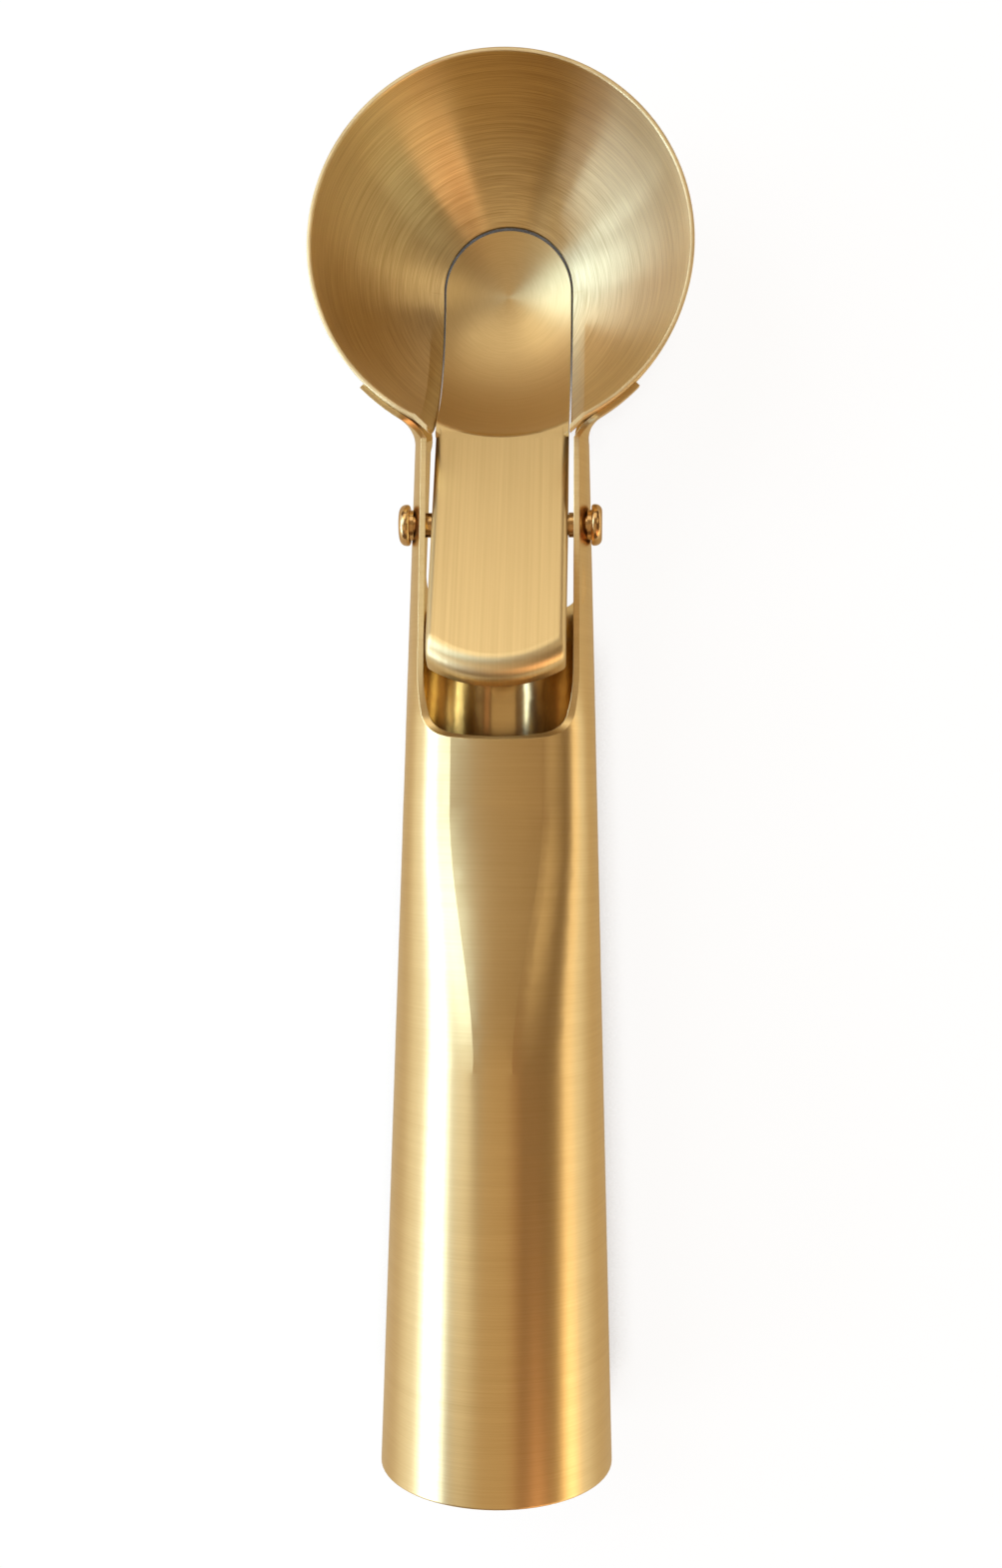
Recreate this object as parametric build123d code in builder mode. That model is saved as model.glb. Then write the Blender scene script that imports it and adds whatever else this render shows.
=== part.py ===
from build123d import *

import os
from math import acos, asin, ceil, cos, degrees, pi, radians, sin, sqrt, tan

# Ice cream scoop with a thumb lever, lying on its back. Millimetres and degrees.
# X runs across the scoop, Y along the handle towards the bowl, Z up out of the bowl.
# The origin is under the middle of the scoop's length, on the surface that it lies on.

# The whole scoop
overall_length = 204.6
axis_drop_share = 0.3764
overrun = 2.0
running_clearance = 0.05

# Bowl
bowl_diameter = 55.0
bowl_wall = 0.7
rim_rounding = 0.25
slot_clearance = 0.3
tip_clearance = 0.3
strip_width = 1.9
strip_drop = 0.9

# Handle
handle_end_diameter = 34.3
handle_neck_diameter = 25.7
handle_wall = 0.75
handle_end_rounding = 0.3
flat_crown_radius = 38.0
flat_edge_angle = 10.0
side_edge_angle = 80.0
flat_length = 9.2
flat_fade_length = 37.0
shoulder_reach = 1.5
shoulder_length = 9.0
fade_steps = 12
neck_overlap = 0.9
arm_bend_steps = 4
opening_reach = 43.1
opening_corner_radius = 4.5
back_edge_reach = 22.3
back_corner_radius = 5.0
arm_neck_rise = 5.8
arm_opening_rise = 7.9
arm_back_drop = 4.8
tab_start_angle = 31.0
tab_end_angle = 45.0
tab_top_drop = 1.5
tab_height = 10.5
tab_weld_gap = 0.05

# Pivot
pivot_reach = 11.3
pivot_rise = 3.0
shaft_diameter = 3.0
head_diameter = 6.0
head_thickness = 1.55
head_outer_rounding = 1.0
head_inner_rounding = 0.4
cap_floor = 0.6
cap_clearance = 0.02
washer_diameter = 4.4
washer_thickness = 0.6
washer_seat_depth = 0.2
spacer_diameter = 3.6
spacer_end_gap = 0.12
sleeve_diameter = 4.2
side_gap = 0.15

# Thumb lever
lever_sheet = 0.7
lever_arm_gap = 0.82
crease_angle = 70.4
pad_slope = 24.0
pad_length = 39.3
pad_end_sagitta = 3.2
pad_end_rounding = 3.0
pad_side_rounding = 1.0
crease_rounding = 1.2
skirt_depth = 4.0
ear_radius = 4.0
ear_web_length = 16.0
tongue_flange_depth = 1.5
tongue_flange_start = 14.0

# Torsion spring
wire_diameter = 0.8
coil_pitch = 1.3
coil_turns = 6
coil_sleeve_gap = 0.2
leg_foot = 2.0
leg_bend_radius = 1.0
leg_end_gap = 0.1
lower_leg_slope = 31.0
upper_leg_divergence = 5.0
arcs_per_turn = 4
gap_samples = 700

# Places that follow from the sizes
bowl_radius = bowl_diameter / 2
bowl_inner_radius = bowl_radius - bowl_wall
bowl_y = overall_length / 2 - bowl_radius
handle_end_y = -overall_length / 2

# The handle's axis lies under the rim, and the scoop rests on its bowl, its handle's end or both
axis_drop = axis_drop_share * bowl_radius
tongue_outer_radius = bowl_inner_radius + lever_sheet
rim_height = max(bowl_radius, tongue_outer_radius, axis_drop + handle_end_diameter / 2)
axis_height = rim_height - axis_drop

# Reaches run from the rim's edge nearest the handle, which the arms pass by a little
bowl_edge_y = bowl_y - bowl_radius
neck_y = bowl_edge_y + neck_overlap
opening_y = bowl_edge_y - opening_reach
back_edge_y = bowl_edge_y - back_edge_reach
pivot_y = bowl_edge_y - pivot_reach
pivot_z = axis_height + pivot_rise

# The lever fits between the arms where they are closest, at the front of the neck
arm_gap = 2 * sqrt((handle_neck_diameter / 2 - handle_wall) ** 2 - arm_neck_rise**2)
tongue_width = arm_gap - 2 * lever_arm_gap
tongue_half = tongue_width / 2
slot_half = tongue_half + slot_clearance
shaft_radius = shaft_diameter / 2
bowl_axis = Axis((0, bowl_y, 0), (0, 0, 1))
bowl_cross_axis = Axis((0, bowl_y, rim_height), (1, 0, 0))
handle_axis = Axis((0, handle_end_y, axis_height), (0, 1, 0))

# The thumb pad's own plane: its origin is on the crease, its Y axis points back to the bowl
crease_y = bowl_y - bowl_inner_radius * sin(radians(crease_angle))
crease_z = rim_height - bowl_inner_radius * cos(radians(crease_angle))
pad_normal = Vector(0, sin(radians(pad_slope)), cos(radians(pad_slope)))
pad_run = Vector(0, -cos(radians(pad_slope)), sin(radians(pad_slope)))
crease = Vector(0, crease_y, crease_z)
pad_plane = Plane(origin=crease, x_dir=(1, 0, 0), z_dir=pad_normal)


def handle_radius(y):
    """Outer radius of the tapered handle at a place along its length."""
    share = (y - handle_end_y) / (neck_y - handle_end_y)
    return (handle_end_diameter + share * (handle_neck_diameter - handle_end_diameter)) / 2


# The front is pressed flatter at the opening, and the press fades out below it and along the arms
flat_start_y = opening_y - flat_length
press_start_y = flat_start_y - flat_fade_length
shoulder_y = opening_y + shoulder_reach
press_end_y = shoulder_y + shoulder_length
flat_sine = sin(radians(flat_edge_angle))
flat_cosine = cos(radians(flat_edge_angle))
side_sine = sin(radians(side_edge_angle))
side_cosine = cos(radians(side_edge_angle))
opening_radius = handle_radius(opening_y)
corner_radius = (opening_radius * side_sine - flat_crown_radius * flat_sine) / (side_sine - flat_sine)
crown_gain = flat_crown_radius - opening_radius
corner_loss = opening_radius - corner_radius
pressed_stretches = (
    (press_start_y, flat_start_y, fade_steps),
    (flat_start_y, shoulder_y, 1),
    (shoulder_y, press_end_y, fade_steps),
)


def press_share(y):
    """Share of the full press at a place along the handle, easing in and out."""
    rising = (y - press_start_y) / flat_fade_length
    falling = (press_end_y - y) / shoulder_length
    share = max(0, min(1, rising, falling))
    return share**2 * (3 - 2 * share)


def pressed_section(y, inset):
    """Section across the handle: a wide crown in front, two corner arcs and a round back."""
    share = press_share(y)
    back = handle_radius(y) - inset
    crown = back + share * crown_gain
    corner = back - share * corner_loss
    corner_centre = Vector(side_sine, side_cosine) * (back - corner)
    crown_centre = corner_centre - Vector(flat_sine, flat_cosine) * (crown - corner)
    middle_angle = radians((flat_edge_angle + side_edge_angle) / 2)
    flat_end = crown_centre + Vector(flat_sine, flat_cosine) * crown
    bend = corner_centre + Vector(sin(middle_angle), cos(middle_angle)) * corner
    side_end = Vector(side_sine, side_cosine) * back
    with BuildLine() as outline:
        ThreePointArc((-flat_end.X, flat_end.Y), crown_centre + Vector(0, crown), flat_end)
        ThreePointArc(flat_end, bend, side_end)
        ThreePointArc(side_end, (0, -back), (-side_end.X, side_end.Y))
        ThreePointArc((-side_end.X, side_end.Y), (-bend.X, bend.Y), (-flat_end.X, flat_end.Y))
    section_plane = Plane(origin=(0, y, axis_height), x_dir=(1, 0, 0), z_dir=(0, -1, 0))
    return section_plane * Face(outline.wire())


def pressed_stretch(start_y, end_y, steps, inset):
    """Sections at even places along a stretch of the pressed handle."""
    places = [start_y + (end_y - start_y) * step / steps for step in range(steps + 1)]
    return [pressed_section(y, inset) for y in places]


def tapered_body(inset, past_ends):
    """Solid taper with its front pressed flatter at the opening, every face set in by the inset."""
    spans = ((handle_end_y - past_ends, press_start_y), (press_end_y, neck_y + past_ends))
    stretches = [pressed_stretch(*stretch, inset) for stretch in pressed_stretches]
    with BuildPart() as body:
        with BuildSketch(Plane.YZ):
            for start_y, end_y in spans:
                with BuildLine():
                    Polyline(
                        (start_y, axis_height),
                        (start_y, axis_height - handle_radius(start_y) + inset),
                        (end_y, axis_height - handle_radius(end_y) + inset),
                        (end_y, axis_height),
                        close=True,
                    )
                make_face()
        revolve(axis=handle_axis)
        for sections in stretches:
            loft(sections=sections)
    return body.part


# Arm end: bends outward round an upright line beside the neck and wraps the outside of the bowl
weld_radius = bowl_radius + tab_weld_gap + handle_wall
neck_radius = handle_neck_diameter / 2
start_turn = radians(tab_start_angle)
bend_reach = (bowl_y - neck_y) / cos(start_turn)
bend_x = bend_reach * sin(start_turn)
tab_low = -tab_top_drop - tab_height


def level_points(radius, centre_reach, centre_height, low, high):
    """Low, middle and high point of a curved strip's face, by distance from the bend and height."""
    levels = (low, (low + high) / 2, high)
    return [Vector(centre_reach - sqrt(radius**2 - level**2), centre_height + level) for level in levels]


def arm_section(share):
    """Section of the arm's end, at a share of the way round its bend from the neck to the bowl.

    Its outline nears the bowl's form early, so that it stays outside the bowl.
    """
    turn = share * (pi / 2 - start_turn)
    blend = 1 - (1 - share) ** 2
    plane = Plane(
        origin=(bend_x, neck_y, 0), x_dir=(-cos(turn), sin(turn), 0), z_dir=(sin(turn), cos(turn), 0)
    )
    faces = []
    for inset in (0, handle_wall):
        at_neck = level_points(neck_radius - inset, bend_x, axis_height, -arm_back_drop, arm_neck_rise)
        at_tab = level_points(weld_radius - inset, bend_reach, rim_height, tab_low, -tab_top_drop)
        faces.append([start + (end - start) * blend for start, end in zip(at_neck, at_tab)])
    outer, inner = faces
    with BuildSketch(plane) as section:
        with BuildLine():
            ThreePointArc(*outer)
            Line(outer[2], inner[2])
            ThreePointArc(*inner)
            Line(inner[0], outer[0])
        make_face()
    return section.sketch


arm_sections = [arm_section(step / arm_bend_steps) for step in range(arm_bend_steps + 1)]

with BuildPart() as arm_end:
    loft(sections=arm_sections)
    revolve(arm_sections[-1], axis=bowl_axis, revolution_arc=tab_end_angle - tab_start_angle)

# Handle shell
arm_front_past_y = neck_y + overrun
arm_front_slope = (arm_opening_rise - arm_neck_rise) / (neck_y - opening_y)
above = axis_height + handle_end_diameter
below = axis_height - handle_end_diameter
outer_body = tapered_body(0, 0)
inner_body = tapered_body(handle_wall, overrun)
pivot_arm_x = sqrt(handle_radius(pivot_y) ** 2 - pivot_rise**2)
seat_x = pivot_arm_x - washer_seat_depth

with BuildPart() as handle_shell:
    add(outer_body)
    end_edges = handle_shell.faces().sort_by(Axis.Y)[0].edges()
    fillet(end_edges, radius=handle_end_rounding)
    add(inner_body, mode=Mode.SUBTRACT)
    with BuildSketch(Plane.YZ):
        with BuildLine():
            front_edge = FilletPolyline(
                (opening_y, above),
                (opening_y, axis_height + arm_opening_rise),
                (arm_front_past_y, axis_height + arm_neck_rise - arm_front_slope * overrun),
                radius=opening_corner_radius,
            )
            Polyline(front_edge @ 1, (arm_front_past_y, above), front_edge @ 0)
        make_face()
        with BuildLine():
            back_edge = FilletPolyline(
                (back_edge_y, below),
                (back_edge_y, axis_height - arm_back_drop),
                (arm_front_past_y, axis_height - arm_back_drop),
                radius=back_corner_radius,
            )
            Polyline(back_edge @ 1, (arm_front_past_y, below), back_edge @ 0)
        make_face()
    extrude(amount=handle_end_diameter, both=True, mode=Mode.SUBTRACT)
    add(arm_end.part)
    mirror(arm_end.part, about=Plane.YZ)
    for side in (1, -1):
        with BuildSketch(Plane.YZ.offset(side * seat_x)):
            with Locations((pivot_y, pivot_z)):
                Circle(washer_diameter / 2 + running_clearance)
        extrude(amount=side * overrun, mode=Mode.SUBTRACT)
    with BuildSketch(Plane.YZ):
        with Locations((pivot_y, pivot_z)):
            Circle(shaft_radius + running_clearance)
    extrude(amount=handle_end_diameter, both=True, mode=Mode.SUBTRACT)
handle_shell.part.label = "handle_shell"


def hemisphere(inner_radius, outer_radius):
    """Hemispherical sheet round the bowl's centre, open upward, before any slot is cut."""
    with BuildPart() as shell:
        with BuildSketch(Plane.YZ.shift_origin((0, bowl_y, rim_height))):
            Circle(outer_radius)
            Circle(inner_radius, mode=Mode.SUBTRACT)
            with Locations((-outer_radius, 0), (0, outer_radius)):
                Rectangle(2 * outer_radius, 2 * outer_radius, mode=Mode.SUBTRACT)
        revolve(axis=bowl_axis)
    return shell.part


def slot_outline(half_width, tip_shift):
    """Plan of the slot: a round end on the bowl's axis, open towards the handle."""
    with Locations((0, tip_shift)):
        Circle(half_width)
    with Locations((0, (tip_shift - bowl_radius - overrun) / 2)):
        Rectangle(2 * half_width, bowl_radius + overrun + tip_shift)


# Bowl: the slot's long edges are bent outward in narrow strips that clear the lever's sides
strip_outer_x = slot_half + strip_width
root_inner = sqrt(bowl_inner_radius**2 - strip_outer_x**2)
root_outer = sqrt(bowl_radius**2 - strip_outer_x**2)
lip_start = sqrt(bowl_inner_radius**2 - slot_half**2)
bowl_floor_plane = Plane(origin=(0, bowl_y, 0))


def strip_edge(x, radius, shift):
    """Long edge of a strip: an arc across the X axis, its centre shifted towards the handle."""
    first = -asin(shift / radius)
    turns = (first, (first + pi / 2) / 2, pi / 2)
    points = [(x, bowl_y - shift - radius * sin(turn), rim_height - radius * cos(turn)) for turn in turns]
    return ThreePointArc(*points)


strip_edges = [
    strip_edge(strip_outer_x, root_inner, 0),
    strip_edge(slot_half, lip_start, strip_drop),
    strip_edge(slot_half, lip_start + bowl_wall, strip_drop),
    strip_edge(strip_outer_x, root_outer, 0),
]
strip_faces = []
for first_edge, second_edge in zip(strip_edges, strip_edges[1:] + strip_edges[:1]):
    strip_faces.append(Face.make_surface_from_curves(first_edge, second_edge))
for place in (0, 1):
    corners = [edge @ place for edge in strip_edges]
    strip_faces.append(Face(Wire.make_polygon(corners)))
strip = Solid(Shell(strip_faces))

with BuildPart() as bowl:
    add(hemisphere(bowl_inner_radius, bowl_radius))
    rim_edges = bowl.faces().sort_by(Axis.Z)[-1].edges()
    fillet(rim_edges, radius=rim_rounding)
    with BuildSketch(bowl_floor_plane):
        slot_outline(slot_half, tip_clearance)
        with Locations((0, -bowl_radius)):
            Rectangle(2 * strip_outer_x, bowl_diameter)
    extrude(amount=rim_height + overrun, mode=Mode.SUBTRACT)
    add(strip)
    add(mirror(strip, about=Plane.YZ, mode=Mode.PRIVATE))
bowl.part.label = "bowl"


pad_rise_axis = Axis(crease, pad_normal)
pad_run_axis = Axis(crease, pad_run)


def pad_block(inset, past_crease, depth):
    """Solid under the thumb pad's outline, its sides, end and top set in by the inset."""
    half = tongue_half - inset
    end = pad_length - inset
    shoulder = end - pad_end_sagitta
    with BuildPart() as block:
        with BuildSketch(pad_plane.offset(-inset)):
            with BuildLine():
                Polyline((-half, -shoulder), (-half, past_crease), (half, past_crease), (half, -shoulder))
                ThreePointArc((half, -shoulder), (0, -end), (-half, -shoulder))
            make_face()
        extrude(amount=-depth)
        top = block.faces().sort_by(pad_rise_axis)[-1]
        fillet(top.edges().sort_by(pad_run_axis)[-1], radius=pad_end_rounding - inset)
        top = block.faces().sort_by(pad_rise_axis)[-1]
        fillet(top.edges().sort_by(pad_run_axis)[1:3], radius=pad_side_rounding - inset)
    return block.part


# Thumb lever: a tongue that fills the slot, and a pad with its sides and end turned down
pivot_point = Vector(0, pivot_y, pivot_z)
pivot_run = (pivot_point - crease).dot(pad_run)
pivot_depth = -(pivot_point - crease).dot(pad_normal)
skirt_reach = pivot_depth + ear_radius + overrun
pad_past_crease = bowl_wall + skirt_depth
flange_root = sqrt(tongue_outer_radius**2 - tongue_half**2) - lever_sheet / 2
flange_tip = flange_root + lever_sheet / 2 + tongue_flange_depth
flange_turn = radians(tongue_flange_start)
flange_plane = Plane(
    origin=(0, bowl_y, rim_height), x_dir=(1, 0, 0), z_dir=(0, cos(flange_turn), -sin(flange_turn))
)


def beside_pad(run, depth):
    """Point of the side view, by its distance along the pad from the crease and its depth."""
    point = crease + pad_run * run - pad_normal * depth
    return (point.Y, point.Z)


# The tongue meets the pad's plane in a circle, and stops there
ridge_radius = bowl_inner_radius * sin(radians(crease_angle - pad_slope))
ridge_sagitta = ridge_radius - sqrt(ridge_radius**2 - tongue_half**2)
above_pad_start = -ridge_sagitta - overrun

with BuildPart() as tongue:
    add(hemisphere(bowl_inner_radius, tongue_outer_radius))
    with BuildSketch(bowl_floor_plane.offset(-overrun)):
        slot_outline(tongue_half, 0)
    extrude(amount=rim_height + 2 * overrun, mode=Mode.INTERSECT)
    with BuildSketch(Plane.YZ):
        with BuildLine():
            Polyline(
                beside_pad(above_pad_start, 0),
                beside_pad(bowl_radius, 0),
                beside_pad(bowl_radius, -bowl_radius),
                beside_pad(above_pad_start, -bowl_radius),
                close=True,
            )
        make_face()
    extrude(amount=bowl_radius, both=True, mode=Mode.SUBTRACT)
    with BuildSketch(flange_plane):
        for side in (1, -1):
            with Locations((side * (tongue_half - lever_sheet / 2), (flange_root + flange_tip) / 2)):
                Rectangle(lever_sheet, flange_tip - flange_root)
    revolve(axis=bowl_cross_axis, revolution_arc=tongue_flange_start - crease_angle)

# The ridge at the crease is rounded along that circle
ridge_axis = Axis((0, bowl_y, rim_height), pad_normal)
ridge_turn = degrees(asin((tongue_half + overrun) / ridge_radius))

with BuildPart() as ridge_space:
    with BuildSketch(Plane.YZ):
        with Locations((bowl_y, rim_height)):
            Circle(bowl_inner_radius)
        with BuildLine():
            Polyline(
                beside_pad(-overrun, 0),
                beside_pad(bowl_radius, 0),
                beside_pad(bowl_radius, -bowl_radius),
                beside_pad(-overrun, -bowl_radius),
                close=True,
            )
        make_face()
        fillet(vertices().sort_by_distance((crease_y, crease_z))[0], radius=crease_rounding)
        with Locations((crease_y, crease_z)):
            Circle(overrun, mode=Mode.INTERSECT)
    revolve(axis=ridge_axis, revolution_arc=ridge_turn)
    mirror(about=Plane.YZ)

with BuildPart() as thumb_lever:
    add(pad_block(0, pad_past_crease, skirt_reach))
    add(pad_block(lever_sheet, pad_past_crease + overrun, skirt_reach + overrun), mode=Mode.SUBTRACT)
    with BuildSketch(Plane.YZ):
        with BuildLine():
            Polyline(
                beside_pad(-pad_past_crease - overrun, -overrun),
                beside_pad(pad_length + overrun, -overrun),
                beside_pad(pad_length + overrun, skirt_depth),
                beside_pad(-pad_past_crease - overrun, skirt_depth),
                close=True,
            )
        make_face()
        with BuildLine():
            Line(
                beside_pad(pivot_run - ear_web_length / 2, skirt_depth),
                beside_pad(pivot_run + ear_web_length / 2, skirt_depth),
            )
            CenterArc((pivot_y, pivot_z), ear_radius, 0, 360)
        make_hull()
    extrude(amount=tongue_width, both=True, mode=Mode.INTERSECT)
    add(tongue.part)
    with Locations((0, bowl_y, rim_height)):
        Sphere(bowl_inner_radius, mode=Mode.SUBTRACT)
    with BuildSketch(Plane.YZ):
        with Locations((pivot_y, pivot_z)):
            Circle(shaft_radius + running_clearance)
    extrude(amount=tongue_width, both=True, mode=Mode.SUBTRACT)
    add(ridge_space.part, mode=Mode.SUBTRACT)
thumb_lever.part.label = "thumb_lever"

# Pivot rivet, its cap, and the washers, spacers and sleeve that it carries
head_x = seat_x + washer_thickness
head_end_x = head_x + head_thickness
shaft_end_x = head_end_x - cap_floor - running_clearance
spacer_radius = spacer_diameter / 2
spacer_start_x = tongue_half + side_gap
arm_inner_radius = handle_radius(pivot_y + spacer_radius) - handle_wall
spacer_end_x = sqrt(arm_inner_radius**2 - (pivot_rise + spacer_radius) ** 2) - spacer_end_gap
sleeve_half_length = tongue_half - lever_sheet - side_gap


def pivot_ring(start_x, end_x, diameter, hole_diameter):
    """Ring or disc round the pivot's axis, between two places across the scoop."""
    with BuildPart() as ring:
        with BuildSketch(Plane.YZ.offset(start_x)):
            with Locations((pivot_y, pivot_z)):
                Circle(diameter / 2)
                if hole_diameter:
                    Circle(hole_diameter / 2, mode=Mode.SUBTRACT)
        extrude(amount=end_x - start_x)
    return ring.part


with BuildPart() as pivot_rivet:
    add(pivot_ring(head_x, head_end_x, head_diameter, 0))
    fillet(pivot_rivet.edges().group_by(Axis.X)[-1], radius=head_outer_rounding)
    fillet(pivot_rivet.edges().group_by(Axis.X)[0], radius=head_inner_rounding)
    add(pivot_ring(-shaft_end_x, head_x + overrun / 2, shaft_diameter, 0))
pivot_rivet.part.label = "pivot_rivet"

with BuildPart() as rivet_cap:
    add(pivot_ring(-head_end_x, -head_x, head_diameter, 0))
    fillet(rivet_cap.edges().group_by(Axis.X)[0], radius=head_outer_rounding)
    fillet(rivet_cap.edges().group_by(Axis.X)[-1], radius=head_inner_rounding)
    bore_diameter = shaft_diameter + 2 * cap_clearance
    add(pivot_ring(cap_floor - head_end_x, overrun - head_x, bore_diameter, 0), mode=Mode.SUBTRACT)
rivet_cap.part.label = "rivet_cap"

shaft_hole_diameter = shaft_diameter + 2 * running_clearance
ring_nodes = {
    "washer_left": (-head_x, -seat_x, washer_diameter),
    "washer_right": (seat_x, head_x, washer_diameter),
    "spacer_left": (-spacer_end_x, -spacer_start_x, spacer_diameter),
    "spacer_right": (spacer_start_x, spacer_end_x, spacer_diameter),
    "spring_sleeve": (-sleeve_half_length, sleeve_half_length, sleeve_diameter),
}

# Torsion spring: wound round the sleeve, one leg on the handle's back wall, one under the pad
coil_radius = sleeve_diameter / 2 + coil_sleeve_gap + wire_diameter / 2
lower_leg_angle = 180 + lower_leg_slope
upper_leg_angle = 180 - pad_slope + upper_leg_divergence
coil_start_angle = lower_leg_angle + 90 - 360
coil_end_angle = upper_leg_angle - 90 + 360 * coil_turns
coil_sweep = coil_end_angle - coil_start_angle
coil_lead = coil_pitch / (2 * pi * coil_radius)
coil_half_length = coil_pitch * coil_sweep / 360 / 2


def coil_point(angle):
    """Point of the wire's centre line in the coil."""
    x = coil_pitch * (angle - coil_start_angle) / 360 - coil_half_length
    turn = radians(angle)
    return Vector(x, pivot_y + coil_radius * cos(turn), pivot_z + coil_radius * sin(turn))


def coil_direction(angle):
    """Unit direction of the wire in the coil, the way that the coil winds."""
    turn = radians(angle)
    return Vector(coil_lead, -sin(turn), cos(turn)).normalized()


def curve_between(start, start_direction, end, end_direction):
    """Two tangent arcs from one point and direction to another."""
    chord = end - start
    square = 2 * (start_direction.dot(end_direction) - 1)
    linear = -2 * chord.dot(start_direction + end_direction)
    constant = chord.dot(chord)
    reach = (-linear - sqrt(linear**2 - 4 * square * constant)) / (2 * square)
    middle = (start + end) / 2 + (start_direction - end_direction) * (reach / 2)
    middle_direction = chord - (start_direction + end_direction) * reach
    TangentArc(start, middle, tangent=start_direction)
    TangentArc(middle, end, tangent=middle_direction)


def bent_leg(start, corner, foot):
    """Straight leg, one bend and a straight foot, from the coil outward."""
    run = (corner - start).normalized()
    turned = (foot - corner).normalized()
    setback = leg_bend_radius * tan(acos(run.dot(turned)) / 2)
    bend_start = corner - run * setback
    bend_end = corner + turned * setback
    return bend_start, bend_end, run


# The lower leg stops where the foot just reaches the handle's back wall, square to it
lower_start = coil_point(coil_start_angle)
lower_run = -coil_direction(coil_start_angle)
wall_taper = (handle_neck_diameter - handle_end_diameter) / 2 / (neck_y - handle_end_y)
foot_circle = handle_radius(lower_start.Y) - handle_wall - leg_end_gap - leg_foot
foot_taper = wall_taper * lower_run.Y
start_drop = lower_start.Z - axis_height
square_term = lower_run.X**2 + lower_run.Z**2 - foot_taper**2
linear_term = 2 * (lower_start.X * lower_run.X + start_drop * lower_run.Z - foot_circle * foot_taper)
constant_term = lower_start.X**2 + start_drop**2 - foot_circle**2
root_term = sqrt(linear_term**2 - 4 * square_term * constant_term)
lower_leg_length = (root_term - linear_term) / (2 * square_term)
lower_corner = lower_start + lower_run * lower_leg_length
wall_direction = Vector(lower_corner.X, 0, lower_corner.Z - axis_height).normalized()
lower_foot = lower_corner + wall_direction * leg_foot

# The upper leg stops where the foot just reaches the pad's underside, square to it
upper_start = coil_point(coil_end_angle)
upper_run = coil_direction(coil_end_angle)
upper_room = -(upper_start - crease).dot(pad_normal) - lever_sheet - leg_end_gap
upper_leg_length = (leg_foot - upper_room) / -upper_run.dot(pad_normal)
upper_corner = upper_start + upper_run * upper_leg_length
upper_foot = upper_corner + pad_normal * leg_foot

with BuildPart() as torsion_spring:
    with BuildLine() as spring_path:
        bend_start, bend_end, run = bent_leg(lower_start, lower_corner, lower_foot)
        Line(lower_foot, bend_end)
        TangentArc(bend_end, bend_start, tangent=lower_corner - lower_foot)
        Line(bend_start, lower_start)
        arc_count = ceil(arcs_per_turn * coil_sweep / 360)
        for step in range(arc_count):
            first_angle = coil_start_angle + coil_sweep * step / arc_count
            last_angle = coil_start_angle + coil_sweep * (step + 1) / arc_count
            curve_between(
                coil_point(first_angle),
                coil_direction(first_angle),
                coil_point(last_angle),
                coil_direction(last_angle),
            )
        bend_start, bend_end, run = bent_leg(upper_start, upper_corner, upper_foot)
        Line(upper_start, bend_start)
        TangentArc(bend_start, bend_end, tangent=run)
        Line(bend_end, upper_foot)
    spring_wire = spring_path.wire()
    with BuildSketch(Plane(origin=lower_foot, z_dir=-wall_direction)):
        Circle(wire_diameter / 2)
    sweep(path=spring_wire)
torsion_spring.part.label = "torsion_spring"


def least_gap(wire, thickness):
    """Smallest clear distance between two stretches of the wire over half a turn apart."""
    points = [wire.position_at(step / gap_samples) for step in range(gap_samples + 1)]
    apart = ceil(pi * coil_radius / wire.length * gap_samples)
    pairs = ((one, other) for one in range(gap_samples) for other in range(one + apart, gap_samples))
    return min((points[one] - points[other]).length for one, other in pairs) - thickness


print("spring wire length", round(spring_wire.length, 2))
print("spring volume over section times length", round(
    torsion_spring.part.volume / (pi * wire_diameter**2 / 4 * spring_wire.length), 4
))
print("spring least gap to itself", round(least_gap(spring_wire, wire_diameter), 3))

os.makedirs("parts", exist_ok=True)
export_step(handle_shell.part, "parts/handle_shell.step")
export_step(bowl.part, "parts/bowl.step")
export_step(thumb_lever.part, "parts/thumb_lever.step")
export_step(pivot_rivet.part, "parts/pivot_rivet.step")
export_step(rivet_cap.part, "parts/rivet_cap.step")
export_step(torsion_spring.part, "parts/torsion_spring.step")
for name, (start_x, end_x, diameter) in ring_nodes.items():
    with BuildPart() as ring_node:
        add(pivot_ring(start_x, end_x, diameter, shaft_hole_diameter))
    ring_node.part.label = name
    export_step(ring_node.part, f"parts/{name}.step")
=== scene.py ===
"""Looks of an ice cream scoop with a thumb lever: brushed brass under soft studio light."""

import logging
from dataclasses import dataclass
from enum import Enum
from math import cos, pi, radians, sin

import bpy
import numpy as np
from mathutils import Matrix, Vector


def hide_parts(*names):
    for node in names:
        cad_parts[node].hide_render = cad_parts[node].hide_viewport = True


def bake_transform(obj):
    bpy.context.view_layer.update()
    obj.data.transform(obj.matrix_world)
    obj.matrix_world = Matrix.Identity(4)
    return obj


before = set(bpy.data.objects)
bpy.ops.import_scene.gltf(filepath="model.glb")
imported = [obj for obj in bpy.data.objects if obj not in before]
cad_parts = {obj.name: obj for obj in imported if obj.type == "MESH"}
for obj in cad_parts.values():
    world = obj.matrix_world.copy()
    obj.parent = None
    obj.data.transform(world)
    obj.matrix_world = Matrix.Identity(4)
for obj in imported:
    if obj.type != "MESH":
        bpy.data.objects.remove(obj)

Socket = bpy.types.NodeSocket
Colour = tuple[float, float, float]
Point = tuple[float, float, float]
Span = tuple[float, float]

PIVOT: Point = (0.0, 0.036, 0.02015)
BOWL_CENTRE: Point = (0.0, 0.0748, 0.0275)
WHITE: Colour = (1.0, 1.0, 1.0)
log = logging.getLogger("scoop")


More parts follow.
